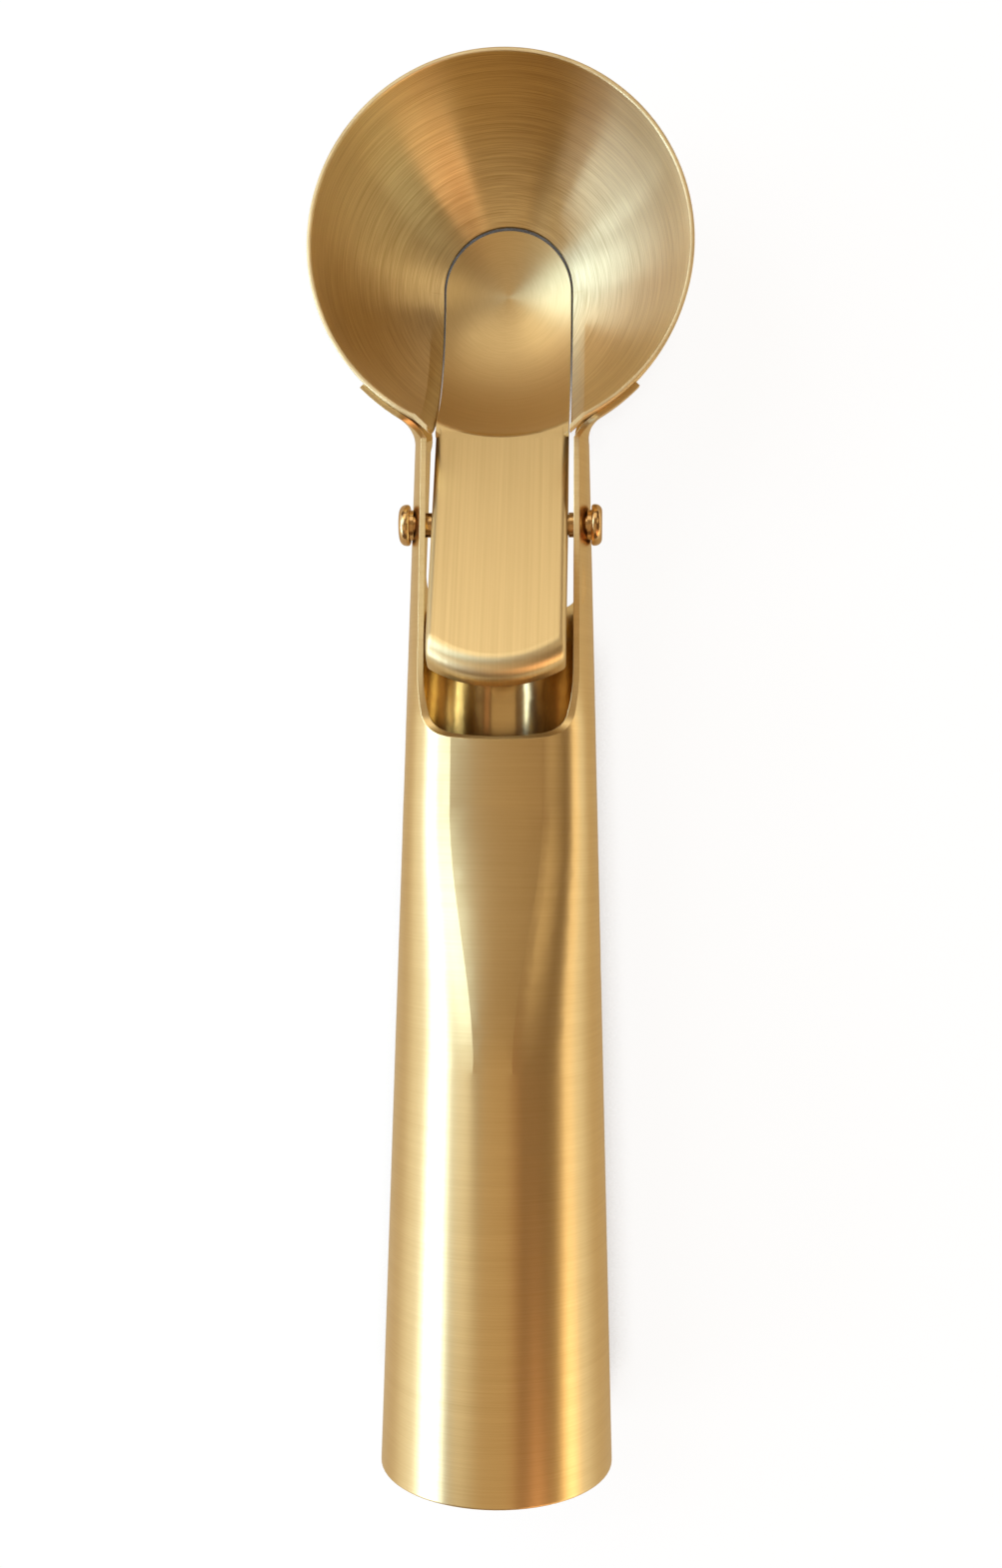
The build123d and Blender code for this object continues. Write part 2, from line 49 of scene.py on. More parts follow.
class Brush(Enum):
    """Which way the grinding lines run on a piece."""

    ACROSS = "round the handle"
    RINGS = "round the bowl's axis"
    ALONG = "along the thumb pad"
    TURNED = "round the pivot's axis"


class NodeSheet:
    """A node tree with short calls for the nodes that the finishes share."""

    def __init__(self, tree: bpy.types.NodeTree) -> None:
        """Starts from an empty tree."""
        self.tree = tree
        tree.nodes.clear()

    def add(self, kind: str, inputs: dict | None = None, **settings: object) -> bpy.types.Node:
        """Adds a node.

        Args:
            kind: Blender's name of the node type.
            inputs: value or socket for each input, by name or number.
            settings: the node's own options.

        Returns:
            The new node.
        """
        node = self.tree.nodes.new(kind)
        for name, value in settings.items():
            setattr(node, name, value)
        for key, value in (inputs or {}).items():
            if isinstance(value, Socket):
                self.tree.links.new(value, node.inputs[key])
            else:
                node.inputs[key].default_value = value
        return node

    def math(self, operation: str, *values: float | Socket) -> Socket:
        """Result of one arithmetic step on numbers or sockets."""
        node = self.add("ShaderNodeMath", dict(enumerate(values)), operation=operation)
        return node.outputs[0]

    def vector(self, operation: str, *values: Point | Socket) -> Socket:
        """Result of one vector step on points or sockets."""
        node = self.add("ShaderNodeVectorMath", dict(enumerate(values)), operation=operation)
        return node.outputs["Value" if operation in ("LENGTH", "DOT_PRODUCT") else "Vector"]

    def even(self, value: Socket) -> Socket:
        """Vector whose three coordinates are the same number."""
        return self.add("ShaderNodeCombineXYZ", {"X": value, "Y": value, "Z": value}).outputs[0]

    def axis(self, place: Socket, name: str) -> Socket:
        """One coordinate of a place: X, Y or Z."""
        return self.add("ShaderNodeSeparateXYZ", {"Vector": place}).outputs[name]

    def mix(self, share: Socket, first: Colour | Socket, second: Colour | Socket) -> Socket:
        """Colour or vector between two others.

        Args:
            share: 0 for the first, 1 for the second.
            first: colour, vector or socket.
            second: colour, vector or socket.

        Returns:
            The mixed colour or vector.
        """
        node = self.add("ShaderNodeMix", {0: share}, data_type="RGBA")
        for key, value in ((6, first), (7, second)):
            if isinstance(value, Socket):
                self.tree.links.new(value, node.inputs[key])
            else:
                node.inputs[key].default_value = (*value, 1.0)
        return node.outputs[2]

    def noise(self, place: Socket, scale: float, detail: float = 2.0) -> Socket:
        """Soft noise between 0 and 1 at a place."""
        inputs = {"Vector": place, "Scale": scale, "Detail": detail}
        return self.add("ShaderNodeTexNoise", inputs).outputs[0]

    def span(self, value: Socket, low: float, high: float, start: float, end: float) -> Socket:
        """Carries a value from the range low to high to the range start to end, clamped."""
        inputs = {"Value": value, "From Min": low, "From Max": high, "To Min": start, "To Max": end}
        return self.add("ShaderNodeMapRange", inputs, clamp=True).outputs[0]


@dataclass(frozen=True)
class Grain:
    """Brush lines on one stretch of metal."""

    brush: Brush
    centre: Point = (0.0, 0.0, 0.0)
    pitch: float = 0.0003
    length: float = 0.012
    radius: float = 0.0275
    turn_reach: float = 0.02

    def lay(self, sheet: NodeSheet, place: Socket) -> tuple[Socket, Socket | Point]:
        """Coordinates that change fast across the lines and slowly along them.

        A line is as wide as the pitch. Straight lines divide each coordinate by the pitch or the length.
        Turned lines take p = r / pitch + direction * (turn reach / length), with r the distance from the
        axis. Rings on a bowl take its arc, radius * atan(r / depth), for r, and their direction across
        runs along the bowl's wall.

        Args:
            sheet: the material's nodes.
            place: object coordinates.

        Returns:
            The stretched coordinates, and the direction across the lines.
        """
        fast = 1.0 / self.pitch
        slow = 1.0 / self.length
        if self.brush is Brush.ACROSS:
            return sheet.vector("MULTIPLY", place, (slow, fast, slow)), (0.0, 1.0, 0.0)
        if self.brush is Brush.ALONG:
            return sheet.vector("MULTIPLY", place, (fast, slow, slow)), (1.0, 0.0, 0.0)
        offset = sheet.vector("SUBTRACT", place, self.centre)
        level = (0.0, 1.0, 1.0) if self.brush is Brush.TURNED else (1.0, 1.0, 0.0)
        flat = sheet.vector("MULTIPLY", offset, level)
        across = sheet.vector("NORMALIZE", flat)
        spread = self.turn_reach * slow
        turn = sheet.vector("MULTIPLY", across, (spread, spread, spread))
        reach = sheet.vector("LENGTH", flat)
        if self.brush is Brush.RINGS:
            depth = sheet.math("MULTIPLY", sheet.axis(offset, "Z"), -1.0)
            inward = sheet.vector("MULTIPLY", across, sheet.even(depth))
            upward = sheet.vector("MULTIPLY", (0.0, 0.0, 1.0), sheet.even(reach))
            across = sheet.vector("ADD", inward, upward)
            reach = sheet.math("MULTIPLY", sheet.math("ARCTAN2", reach, depth), self.radius)
        lines = sheet.even(sheet.math("MULTIPLY", reach, fast))
        return sheet.vector("ADD", turn, lines), across


@dataclass(frozen=True)
class Zone:
    """A stretch of a piece with its own lines, roughness and stretch of the reflections."""

    grain: Grain
    gloss: float = 1.0
    stretch: float = 1.0

    def mask(self, sheet: NodeSheet, place: Socket) -> Socket:
        """1 in the stretch, 0 outside it."""
        raise NotImplementedError


@dataclass(frozen=True)
class BrushedMetal:
    """A ground and brushed metal: fine lines one way, which stretch its reflections the other way."""

    name: str
    grain: Grain
    colour: Colour = (0.84, 0.64, 0.33)
    shade: Colour = (0.74, 0.54, 0.26)
    roughness: float = 0.36
    anisotropy: float = 0.95
    line_depth: float = 4e-6
    broad_share: float = 0.4
    contrast: float = 1.0
    edge_softness: float = 0.00012
    edge_samples: int = 4
    fine_detail: float = 3.0
    broad_scale: float = 0.17
    cloud_scale: float = 60.0
    cloud_share: float = 0.2
    colour_reach: float = 0.2
    line_range: Span = (0.3, 0.7)
    rough_range: Span = (1.06, 0.94)

    def worn_colour(self, sheet: NodeSheet, place: Socket, lines: Socket) -> Socket:
        """Colour between shade and full colour, after the lines and a soft cloud.

        Args:
            sheet: the material's nodes.
            place: object coordinates.
            lines: height of the brush lines, 0 to 1.

        Returns:
            The metal's colour.
        """
        cloud = sheet.noise(place, self.cloud_scale)
        from_lines = sheet.math("MULTIPLY", lines, 1.0 - self.cloud_share)
        worn = sheet.math("ADD", from_lines, sheet.math("MULTIPLY", cloud, self.cloud_share))
        reach = self.colour_reach / self.contrast
        return sheet.mix(sheet.span(worn, 0.5 - reach, 0.5 + reach, 0.0, 1.0), self.shade, self.colour)

    def relief(self, sheet: NodeSheet, lines: Socket) -> Socket:
        """Brush lines as a relief, on edges that are rounded a little.

        Args:
            sheet: the material's nodes.
            lines: height of the brush lines, 0 to 1.

        Returns:
            The normal of the relief.
        """
        soft = sheet.add("ShaderNodeBevel", {"Radius": self.edge_softness}, samples=self.edge_samples)
        inputs = {"Height": lines, "Strength": 1.0, "Distance": self.line_depth, "Normal": soft.outputs[0]}
        return sheet.add("ShaderNodeBump", inputs).outputs[0]

    def make(self, *zones: Zone) -> bpy.types.Material:
        """Builds the material.

        Args:
            zones: stretches with their own grain, gloss and stretch of the reflections.

        Returns:
            A metal whose lines vary its colour, roughness and relief.
        """
        material = bpy.data.materials.new(self.name)
        material.use_nodes = True
        sheet = NodeSheet(material.node_tree)
        place = sheet.add("ShaderNodeTexCoord").outputs["Object"]
        flow, across = self.grain.lay(sheet, place)
        gloss = 1.0
        stretch = self.anisotropy
        for zone in zones:
            inside = zone.mask(sheet, place)
            zone_flow, zone_across = zone.grain.lay(sheet, place)
            flow = sheet.mix(inside, flow, zone_flow)
            across = sheet.mix(inside, across, zone_across)
            gloss = sheet.math("MULTIPLY", gloss, sheet.span(inside, 0.0, 1.0, 1.0, zone.gloss))
            stretch = sheet.math("MULTIPLY", stretch, sheet.span(inside, 0.0, 1.0, 1.0, zone.stretch))
        fine = sheet.noise(flow, 1.0, self.fine_detail)
        broad = sheet.noise(flow, self.broad_scale)
        lines = sheet.add("ShaderNodeMix", {0: self.broad_share, 2: fine, 3: broad}).outputs[0]
        rougher, smoother = (self.roughness * part for part in self.rough_range)
        rough = sheet.span(lines, *self.line_range, rougher, smoother)
        turned = sheet.add(
            "ShaderNodeVectorTransform",
            {"Vector": across},
            vector_type="VECTOR",
            convert_from="OBJECT",
            convert_to="WORLD",
        )
        metal = sheet.add(
            "ShaderNodeBsdfPrincipled",
            {
                "Base Color": self.worn_colour(sheet, place, lines),
                "Metallic": 1.0,
                "Roughness": sheet.math("MULTIPLY", rough, gloss),
                "Anisotropic": stretch,
                "Tangent": turned.outputs[0],
                "Normal": self.relief(sheet, lines),
            },
        )
        sheet.add("ShaderNodeOutputMaterial", {"Surface": metal.outputs[0]})
        return material


@dataclass(frozen=True)
class PadZone(Zone):
    """The thumb pad, on the handle's side of the crease.

    With n the direction halfway between pad and tongue at the crease, it is where n . (p - crease) < 0.
    """

    crease: Point = (0.0, 0.04955, 0.01851)
    divide: Point = (0.0, 0.974, -0.226)
    blend: float = 0.0006

    def mask(self, sheet: NodeSheet, place: Socket) -> Socket:
        """Finds the pad, with a short blend at the crease.

        Args:
            sheet: the material's nodes.
            place: object coordinates.

        Returns:
            1 on the pad, 0 on the tongue.
        """
        offset = sheet.vector("SUBTRACT", place, self.crease)
        side = sheet.vector("DOT_PRODUCT", offset, self.divide)
        return sheet.span(side, -self.blend, self.blend, 1.0, 0.0)


@dataclass(frozen=True)
class TubeZone(Zone):
    """A stretch of the handle's tapered tube, found by the distance from the tube's axis."""

    axis_height: float = 0.01715
    end_y: float = -0.1023
    neck_y: float = 0.0482
    end_radius: float = 0.016775
    neck_radius: float = 0.012475

    def depth(self, sheet: NodeSheet, place: Socket) -> Socket:
        """Measures from the middle of the tube's wall, whose radius changes evenly along the handle.

        Args:
            sheet: the material's nodes.
            place: object coordinates.

        Returns:
            The distance, positive outside the middle of the wall.
        """
        offset = sheet.vector("SUBTRACT", place, (0.0, 0.0, self.axis_height))
        reach = sheet.vector("LENGTH", sheet.vector("MULTIPLY", offset, (1.0, 0.0, 1.0)))
        along = sheet.axis(place, "Y")
        middle = sheet.span(along, self.end_y, self.neck_y, self.end_radius, self.neck_radius)
        return sheet.math("SUBTRACT", reach, middle)


@dataclass(frozen=True)
class InnerWall(TubeZone):
    """The inside of the handle's back half: nearer the axis than the middle of the wall."""

    def mask(self, sheet: NodeSheet, place: Socket) -> Socket:
        """Finds the inside of the back half.

        Args:
            sheet: the material's nodes.
            place: object coordinates.

        Returns:
            1 on the inside of the back half, 0 elsewhere.
        """
        inside = sheet.math("LESS_THAN", self.depth(sheet, place), 0.0)
        back = sheet.math("LESS_THAN", sheet.axis(place, "Z"), self.axis_height)
        return sheet.math("MULTIPLY", inside, back)


@dataclass(frozen=True)
class ArmEdge(TubeZone):
    """The arms' cut edges, rubbed matt: inside the wall's thickness, beside the opening."""

    half_wall: float = 0.0003
    fade_start_y: float = 0.009
    fade_end_y: float = 0.018

    def mask(self, sheet: NodeSheet, place: Socket) -> Socket:
        """Finds the sheet's edges, fading in from the opening's lower end.

        Args:
            sheet: the material's nodes.
            place: object coordinates.

        Returns:
            1 on the edges of the sheet, 0 on its faces.
        """
        depth = sheet.math("ABSOLUTE", self.depth(sheet, place))
        within = sheet.math("LESS_THAN", depth, self.half_wall)
        beside = sheet.span(sheet.axis(place, "Y"), self.fade_start_y, self.fade_end_y, 0.0, 1.0)
        return sheet.math("MULTIPLY", within, beside)


@dataclass(frozen=True)
class BowlRim(Zone):
    """The bowl's cut edge, rubbed matt: everything above a level just under the rim."""

    level: float = 0.02745

    def mask(self, sheet: NodeSheet, place: Socket) -> Socket:
        """1 on the rim's edge, 0 below it."""
        return sheet.math("GREATER_THAN", sheet.axis(place, "Z"), self.level)


@dataclass
class SubAssembly:
    """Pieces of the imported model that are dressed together."""

    nodes: tuple[str, ...]
    slot: str

    def finish(self) -> bpy.types.Material:
        """The material of these pieces."""
        raise NotImplementedError

    def dress(self) -> None:
        """Puts the finish on every node."""
        material = self.finish()
        for name in self.nodes:
            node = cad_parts[name]
            node.data.materials.clear()
            node.data.materials.append(material)
            log.info("%s: %s", name, material.name)


@dataclass
class HandleShell(SubAssembly):
    """The tapered tube with its arms, ground round its length, smoother inside."""

    nodes: tuple[str, ...] = ("handle_shell",)
    slot: str = "handle_metal"
    line_pitch: float = 0.00022
    inner_gloss: float = 0.5
    edge_gloss: float = 2.0
    edge_stretch: float = 0.2

    def finish(self) -> bpy.types.Material:
        """Brass brushed across the handle.

        Returns:
            The handle's material, with zones for its inside and its cut edges.
        """
        grain = Grain(Brush.ACROSS, pitch=self.line_pitch)
        metal = BrushedMetal("handle_brass", grain, roughness=0.3, anisotropy=0.45, line_depth=1e-6)
        inner_wall = InnerWall(grain, self.inner_gloss)
        arm_edge = ArmEdge(grain, self.edge_gloss, self.edge_stretch)
        return metal.make(inner_wall, arm_edge)


@dataclass
class Bowl(SubAssembly):
    """The hemisphere, brushed in rings round its upright axis."""

    nodes: tuple[str, ...] = ("bowl",)
    slot: str = "bowl_metal"
    line_pitch: float = 0.00028
    line_length: float = 0.006
    rim_gloss: float = 2.0
    rim_stretch: float = 0.2

    def finish(self) -> bpy.types.Material:
        """Brass brushed in rings, its colour a lighter copy of the handle's brass: painted light.

        Returns:
            The bowl's material, with a zone for its rim.
        """
        grain = Grain(Brush.RINGS, BOWL_CENTRE, self.line_pitch, self.line_length)
        metal = BrushedMetal(
            "bowl_brass_painted_light",
            grain,
            # A lighter copy of the handle's brass: painted light that brightens the bowl's highlight wedge
            colour=(0.9, 0.73, 0.43),
            shade=(0.68, 0.51, 0.27),
            roughness=0.31,
            anisotropy=1.0,
            line_depth=7e-6,
            broad_share=0.2,
            contrast=1.6,
        )
        return metal.make(BowlRim(grain, self.rim_gloss, self.rim_stretch))


@dataclass
class ThumbLever(SubAssembly):
    """The tongue, brushed in rings like the bowl, and the thumb pad, brushed along its length."""

    nodes: tuple[str, ...] = ("thumb_lever",)
    slot: str = "lever_metal"
    line_pitch: float = 0.0003
    ring_line_length: float = 0.006
    pad_line_length: float = 0.05

    def finish(self) -> bpy.types.Material:
        """Brass with two directions of brushing, its colour a darker copy of the handle's brass: painted
        shade.

        Returns:
            The lever's material, with a zone for its pad.
        """
        rings = Grain(Brush.RINGS, BOWL_CENTRE, self.line_pitch, self.ring_line_length)
        along = Grain(Brush.ALONG, pitch=self.line_pitch, length=self.pad_line_length)
        metal = BrushedMetal(
            "lever_brass_painted_shade",
            rings,
            # A darker copy of the handle's brass: painted shade that dims the pad's and the tongue's
            # highlights
            colour=(0.78, 0.6, 0.32),
            shade=(0.7, 0.53, 0.27),
            roughness=0.38,
            anisotropy=0.6,
            line_depth=4e-6,
            broad_share=0.15,
        )
        return metal.make(PadZone(along))


@dataclass
class PivotSet(SubAssembly):
    """Rivet, cap, washers, spacers and sleeve: turned and polished."""

    nodes: tuple[str, ...] = (
        "pivot_rivet",
        "rivet_cap",
        "washer_left",
        "washer_right",
        "spacer_left",
        "spacer_right",
        "spring_sleeve",
    )
    slot: str = "rivet_metal"
    line_pitch: float = 0.0002

    def finish(self) -> bpy.types.Material:
        """Polished brass with faint turning lines.

        Returns:
            The material of the pivot's pieces.
        """
        metal = BrushedMetal(
            "pivot_brass",
            Grain(Brush.TURNED, PIVOT, self.line_pitch),
            colour=(0.7, 0.47, 0.22),
            shade=(0.56, 0.34, 0.15),
            roughness=0.18,
            anisotropy=0.2,
            line_depth=1e-6,
        )
        return metal.make()


@dataclass
class TorsionSpring(SubAssembly):
    """The wire spring under the pad, which winds up as the lever turns.

    Its coil is the helix p(a) = pivot + (pitch * (a - middle) / full turn, radius * cos a, radius * sin a).
    At each end a straight leg goes on along the helix and turns into a short foot. The lower leg stands on
    the handle's back wall, and the upper one follows the pad.
    """

    nodes: tuple[str, ...] = ("torsion_spring",)
    slot: str = "spring_steel"
    line_pitch: float = 0.0002
    wire_diameter: float = 0.0008
    coil_radius: float = 0.0027
    coil_pitch: float = 0.0013
    start_angle: float = -59.0
    end_angle: float = 2231.0
    angle_step: float = 6.0
    lower_leg: float = 0.01926
    upper_leg: float = 0.01698
    foot: float = 0.002
    bend_radius: float = 0.001
    bend_steps: int = 8
    wall_direction: Point = (-0.52, 0.0, -0.854)
    pad_slope: float = 24.0
    sides: int = 16

    def finish(self) -> bpy.types.Material:
        """Drawn steel wire.

        Returns:
            The spring's material.
        """
        metal = BrushedMetal(
            "spring_wire",
            Grain(Brush.TURNED, PIVOT, self.line_pitch),
            colour=(0.55, 0.53, 0.5),
            shade=(0.42, 0.4, 0.38),
            roughness=0.3,
            anisotropy=0.3,
            line_depth=1e-6,
        )
        return metal.make()

    def half_length(self) -> float:
        """Half of the coil's length along the pivot's axis."""
        return self.coil_pitch * (self.end_angle - self.start_angle) / 720

    def coil(self, angles: np.ndarray) -> np.ndarray:
        """Points of the helix.

        Args:
            angles: where on the helix, in degrees.

        Returns:
            One point for each angle.
        """
        turn = np.radians(angles)
        along = self.coil_pitch * (angles - self.start_angle) / 360 - self.half_length()
        ring = self.coil_radius * np.column_stack((np.cos(turn), np.sin(turn)))
        return np.array(PIVOT) + np.column_stack((along, ring))

    def coil_way(self, angle: float) -> np.ndarray:
        """Direction of the helix, along dp/da.

        Args:
            angle: where on the helix, in degrees.

        Returns:
            A unit vector.
        """
        turn = radians(angle)
        way = np.array((self.coil_pitch / (2 * pi * self.coil_radius), -sin(turn), cos(turn)))
        return way / np.linalg.norm(way)

    def leg(self, start: np.ndarray, run: np.ndarray, length: float, foot_way: Point) -> np.ndarray:
        """Bend and foot at the end of a straight leg.

        With r the bend's radius, t the angle turned, d the leg's direction and s the direction square to it
        in the bend's plane, the bend is q(t) = bend start + r * (sin t * d + (1 - cos t) * s).

        Args:
            start: end of the coil.
            run: direction of the leg, a unit vector.
            length: from the coil's end to the corner that the bend rounds.
            foot_way: direction of the foot.

        Returns:
            Points from the bend's start to the foot's end.
        """
        way = np.array(foot_way) / np.linalg.norm(foot_way)
        full = np.arccos(run @ way)
        side = (way - run * np.cos(full)) / np.sin(full)
        corner = start + run * length
        turn = np.linspace(0.0, full, self.bend_steps)[:, None]
        bend_start = corner - run * self.bend_radius * np.tan(full / 2)
        bend = bend_start + self.bend_radius * (np.sin(turn) * run + (1.0 - np.cos(turn)) * side)
        return np.vstack((bend, corner + way * self.foot))

    def centre_line(self) -> np.ndarray:
        """The wire's centre line.

        Returns:
            Points from the lower foot to the upper one.
        """
        steps = round((self.end_angle - self.start_angle) / self.angle_step) + 1
        coil = self.coil(np.linspace(self.start_angle, self.end_angle, steps))
        tilt = radians(self.pad_slope)
        pad_direction = (0.0, sin(tilt), cos(tilt))
        lower = self.leg(coil[0], -self.coil_way(self.start_angle), self.lower_leg, self.wall_direction)
        upper = self.leg(coil[-1], self.coil_way(self.end_angle), self.upper_leg, pad_direction)
        return np.vstack((lower[::-1], coil, upper))

    def build_wire(self) -> bpy.types.Object:
        """Round tube on the centre line.

        With t the line's direction, u the part of +X square to t and v = t x u, the surface is
        p(i, a) = line(i) + wire radius * (cos a * u + sin a * v).

        Returns:
            The wire, closed at both ends.
        """
        line = self.centre_line()
        way = np.gradient(line, axis=0)
        way /= np.linalg.norm(way, axis=1, keepdims=True)
        first = np.array((1.0, 0.0, 0.0)) - way[:, :1] * way
        first /= np.linalg.norm(first, axis=1, keepdims=True)
        second = np.cross(way, first)
        turn = np.linspace(0.0, 2 * pi, self.sides, endpoint=False)[None, :, None]
        ring = np.cos(turn) * first[:, None] + np.sin(turn) * second[:, None]
        points = (line[:, None] + ring * self.wire_diameter / 2).reshape(-1, 3)
        number = np.arange(len(points)).reshape(-1, self.sides)
        beside = np.roll(number, -1, axis=1)
        walls = np.stack((number[:-1], beside[:-1], beside[1:], number[1:]), axis=-1).reshape(-1, 4)
        ends = [number[0, ::-1].tolist(), number[-1].tolist()]
        mesh = bpy.data.meshes.new("wound_wire")
        mesh.from_pydata(points.tolist(), [], walls.tolist() + ends)
        mesh.polygons.foreach_set("use_smooth", [True] * len(walls) + [False] * len(ends))
        mesh.update()
        wire = bpy.data.objects.new("wound_wire", mesh)
        bpy.context.scene.collection.objects.link(wire)
        return wire

    def dress(self) -> None:
        """Stands the wire in the CAD spring's place, its coil turning from the handle to the lever."""
        super().dress()
        wire = self.build_wire()
        wire.data.materials.append(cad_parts[self.nodes[0]].data.materials[0])
        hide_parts(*self.nodes)
        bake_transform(wire)
        log.info("%s: stands for %s", wire.name, self.nodes[0])


@dataclass(frozen=True)
class SoftBox:
    """A rectangular studio lamp that faces its aim, with its length level.

    Its direction from there is an azimuth from +X towards +Y and a tilt from the vertical, in degrees.
    """

    name: str
    azimuth: float
    tilt: float
    length: float
    width: float
    radiance: float
    colour: Colour
    distance: float = 1.1
    aim: Point = (0.0, 0.0, 0.02)

    def make(self) -> None:
        """Adds the lamp: its power is its radiance times pi times its area."""
        lamp = bpy.data.lights.new(self.name, "AREA")
        lamp.shape = "RECTANGLE"
        lamp.size = self.length
        lamp.size_y = self.width
        lamp.energy = self.radiance * pi * self.width * self.length
        lamp.color = self.colour
        holder = bpy.data.objects.new(self.name, lamp)
        turn = radians(self.azimuth)
        lean = radians(self.tilt)
        back = Vector((sin(lean) * cos(turn), sin(lean) * sin(turn), cos(lean)))
        level = Vector((-sin(turn), cos(turn), 0.0))
        holder.matrix_world = Matrix((level, back.cross(level), back)).transposed().to_4x4()
        holder.location = Vector(self.aim) + back * self.distance
        holder.visible_camera = False
        bpy.context.scene.collection.objects.link(holder)


@dataclass
class Studio:
    """Floor, world, lamps and camera."""

    lamps: tuple[SoftBox, ...]
    floor_half: float = 3.0
    floor_colour: Colour = (0.9, 0.89, 0.87)
    world_colour: Colour = (0.168, 0.105, 0.055)
    white_share: float = 0.88
    white_strength: float = 1.05
    fade_range: Span = (0.25, 0.9)
    reflected_share: float = 0.85
    # Painted shade: in mirrored rays the floor glows dim and warm beside the scoop, and pale further off
    painted_shade_near_scoop: Colour = (0.6, 0.46, 0.26)
    far_reflection: Colour = (1.0, 0.95, 0.8)
    painted_shade_fade: Span = (0.05, 0.12)
    # Ambient occlusion within this reach paints a shadow: the paper's colour drops to the tint's share of
    # its own, and its white glow goes
    shadow_reach: float = 0.014
    shadow_samples: int = 8
    shadow_range: Span = (0.35, 0.65)
    painted_shadow_tint: float = 0.1
    lens_pixels: float = 1601.98
    frame_pixels: float = 1569.0
    sensor: float = 36.0
    nearest: float = 0.01
    camera_place: Point = (0.013794, 0.001402, 0.254111)
    camera_turn: Point = (-0.766, 3.315, 0.323)

    def floor_paper(self) -> bpy.types.Material:
        """Pale paper, white to the camera, with the scoop's shadow: real on the paper's diffuse part, and
        painted by ambient occlusion.

        The narrow space close under the scoop is a painted shadow: ambient occlusion darkens the paper's
        colour there and takes away its white glow. Metal mirrors the floor as warm and dim beside the
        scoop, a painted shade, and as pale further off.

        Returns:
            The floor's material.
        """
        material = bpy.data.materials.new("floor_paper")
        material.use_nodes = True
        sheet = NodeSheet(material.node_tree)
        place = sheet.add("ShaderNodeTexCoord").outputs["Object"]
        ray = sheet.add("ShaderNodeLightPath").outputs
        inputs = {"Distance": self.shadow_reach}
        sky = sheet.add("ShaderNodeAmbientOcclusion", inputs, samples=self.shadow_samples)
        clear = sheet.span(sky.outputs["AO"], *self.shadow_range, 0.0, 1.0)
        reflected = sheet.math("MULTIPLY", ray["Is Glossy Ray"], self.reflected_share)
        seen = sheet.math("MAXIMUM", ray["Is Camera Ray"], reflected)
        away = sheet.vector("LENGTH", place)
        white_share = sheet.span(away, *self.fade_range, self.white_share, 1.0)
        share = sheet.math("MULTIPLY", sheet.math("MULTIPLY", seen, clear), white_share)
        # Painted shadow: ambient occlusion darkens the paper's own colour close under the scoop
        shadow = tuple(self.painted_shadow_tint * part for part in self.floor_colour)
        paper = sheet.add("ShaderNodeBsdfDiffuse", {"Color": sheet.mix(clear, shadow, self.floor_colour)})
        # Painted shade: mirrored rays see the floor's glow dim and warm within a band beside the scoop
        beside = sheet.math("ABSOLUTE", sheet.axis(place, "X"))
        distant = sheet.span(beside, *self.painted_shade_fade, 0.0, 1.0)
        mirrored = sheet.mix(distant, self.painted_shade_near_scoop, self.far_reflection)
        glow = sheet.mix(ray["Is Glossy Ray"], WHITE, mirrored)
        white = sheet.add("ShaderNodeEmission", {"Color": glow, "Strength": self.white_strength})
        both = sheet.add("ShaderNodeMixShader", {0: share, 1: paper.outputs[0], 2: white.outputs[0]})
        sheet.add("ShaderNodeOutputMaterial", {"Surface": both.outputs[0]})
        return material

    def lay_floor(self) -> None:
        """Lays a square of paper under the scoop."""
        half = self.floor_half
        mesh = bpy.data.meshes.new("floor")
        corners = [(-half, -half, 0), (half, -half, 0), (half, half, 0), (-half, half, 0)]
        mesh.from_pydata(corners, [], [(0, 1, 2, 3)])
        mesh.materials.append(self.floor_paper())
        floor = bpy.data.objects.new("floor", mesh)
        bpy.context.scene.collection.objects.link(floor)

    def light_world(self) -> None:
        """Dim warm surroundings, white where the camera looks past the floor."""
        world = bpy.data.worlds.new("studio")
        bpy.context.scene.world = world
        world.use_nodes = True
        sheet = NodeSheet(world.node_tree)
        camera_ray = sheet.add("ShaderNodeLightPath").outputs["Is Camera Ray"]
        colour = sheet.mix(camera_ray, self.world_colour, WHITE)
        glow = sheet.add("ShaderNodeBackground", {"Color": colour, "Strength": 1.0})
        sheet.add("ShaderNodeOutputWorld", {"Surface": glow.outputs[0]})

    def place_camera(self) -> None:
        """Camera above the scoop, a little to its right."""
        data = bpy.data.cameras.new("camera")
        data.sensor_width = self.sensor
        data.lens = self.lens_pixels * self.sensor / self.frame_pixels
        data.clip_start = self.nearest
        camera = bpy.data.objects.new("camera", data)
        camera.location = self.camera_place
        camera.rotation_euler = [radians(angle) for angle in self.camera_turn]
        bpy.context.scene.collection.objects.link(camera)
        bpy.context.scene.camera = camera

    def set_up(self) -> None:
        """Builds the whole studio."""
        self.lay_floor()
        self.light_world()
        self.place_camera()
        for lamp in self.lamps:
            lamp.make()
        bpy.context.scene.view_settings.view_transform = "Standard"
        log.info("studio: %d lamps", len(self.lamps))


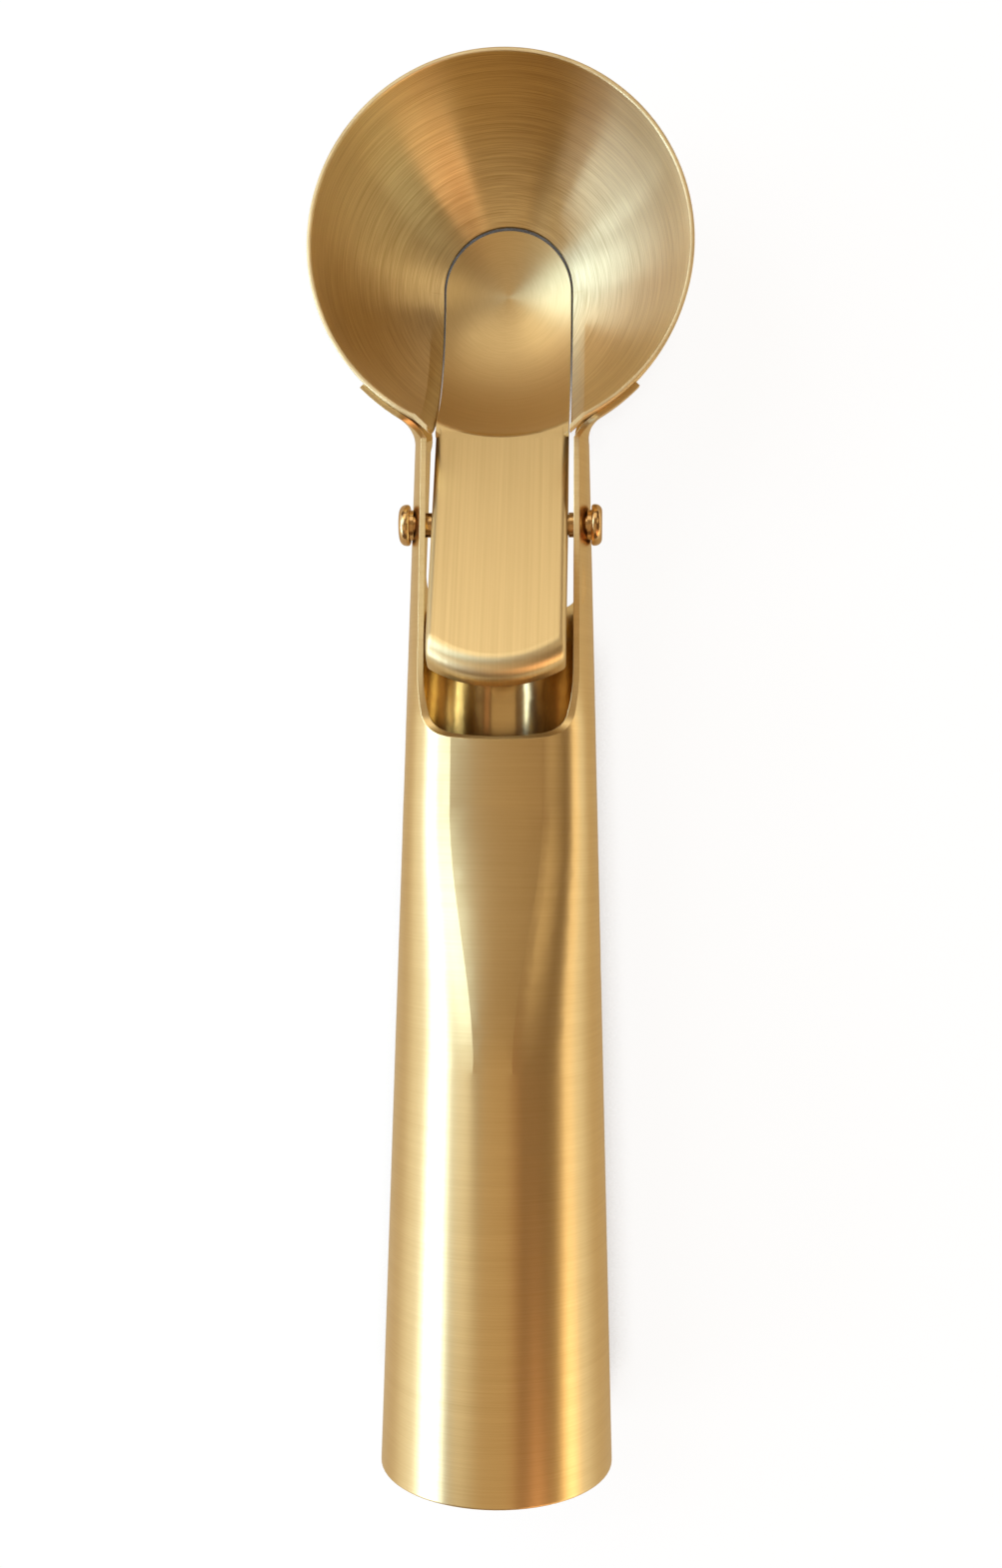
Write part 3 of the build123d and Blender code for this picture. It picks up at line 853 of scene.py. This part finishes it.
SUB_ASSEMBLIES = (HandleShell(), Bowl(), ThumbLever(), PivotSet(), TorsionSpring())

# Name, azimuth, tilt, length, width, radiance and colour, then distance and aim where a lamp has its own
LAMPS = (
    SoftBox("window", 184, 64, 1.3, 0.26, 1.7, (0.6, 0.75, 1.0), 0.68),
    SoftBox("bowl_window", 172, 62, 0.4, 0.3, 2.6, (0.57, 0.77, 1.0), 0.75),
    SoftBox("low_wall", 184, 83, 1.3, 0.17, 0.95, (0.9, 0.97, 1.0), 0.7),
    SoftBox("high_window", 201, 68, 0.6, 0.42, 4.6, (0.55, 0.77, 1.0)),
    SoftBox("side_window", 154, 42, 0.6, 0.6, 3.8, (0.53, 0.76, 1.0)),
    SoftBox("left_fill", 208, 37, 0.6, 0.44, 0.72, (1.0, 0.93, 0.72)),
    SoftBox("left_wall", 126, 46, 0.5, 0.5, 1.3, (1.0, 0.92, 0.7)),
    SoftBox("overhead", 270, 27, 0.8, 1.3, 0.42, (1.0, 0.77, 0.46), 1.26),
    SoftBox("back_overhead", 90, 17, 0.8, 0.62, 0.21, (1.0, 0.77, 0.46), 1.26),
    SoftBox("copper_strip", 0, 22, 1.3, 0.12, 0.26, (1.0, 0.5, 0.27), 1.08, (0.0, -0.6, 0.02)),
    SoftBox("copper_card", 307, 62, 0.5, 0.6, 1.9, (1.0, 0.53, 0.3), 1.2),
    SoftBox("gold_card", 322, 80, 0.75, 0.35, 1.5, (1.0, 0.76, 0.42), 1.2),
    SoftBox("right_box", 0, 84, 1.9, 0.3, 1.15, (1.0, 0.85, 0.6), 1.0),
    SoftBox("back_box", 90, 48, 0.8, 0.6, 1.2, (1.0, 0.92, 0.74)),
    SoftBox("right_wall", 24, 44, 0.4, 0.6, 0.8, (1.0, 0.84, 0.56)),
)


def main() -> None:
    """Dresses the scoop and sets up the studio."""
    logging.basicConfig(level=logging.INFO)
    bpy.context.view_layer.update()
    for part in SUB_ASSEMBLIES:
        part.dress()
    Studio(LAMPS).set_up()


if __name__ == "__main__":
    main()
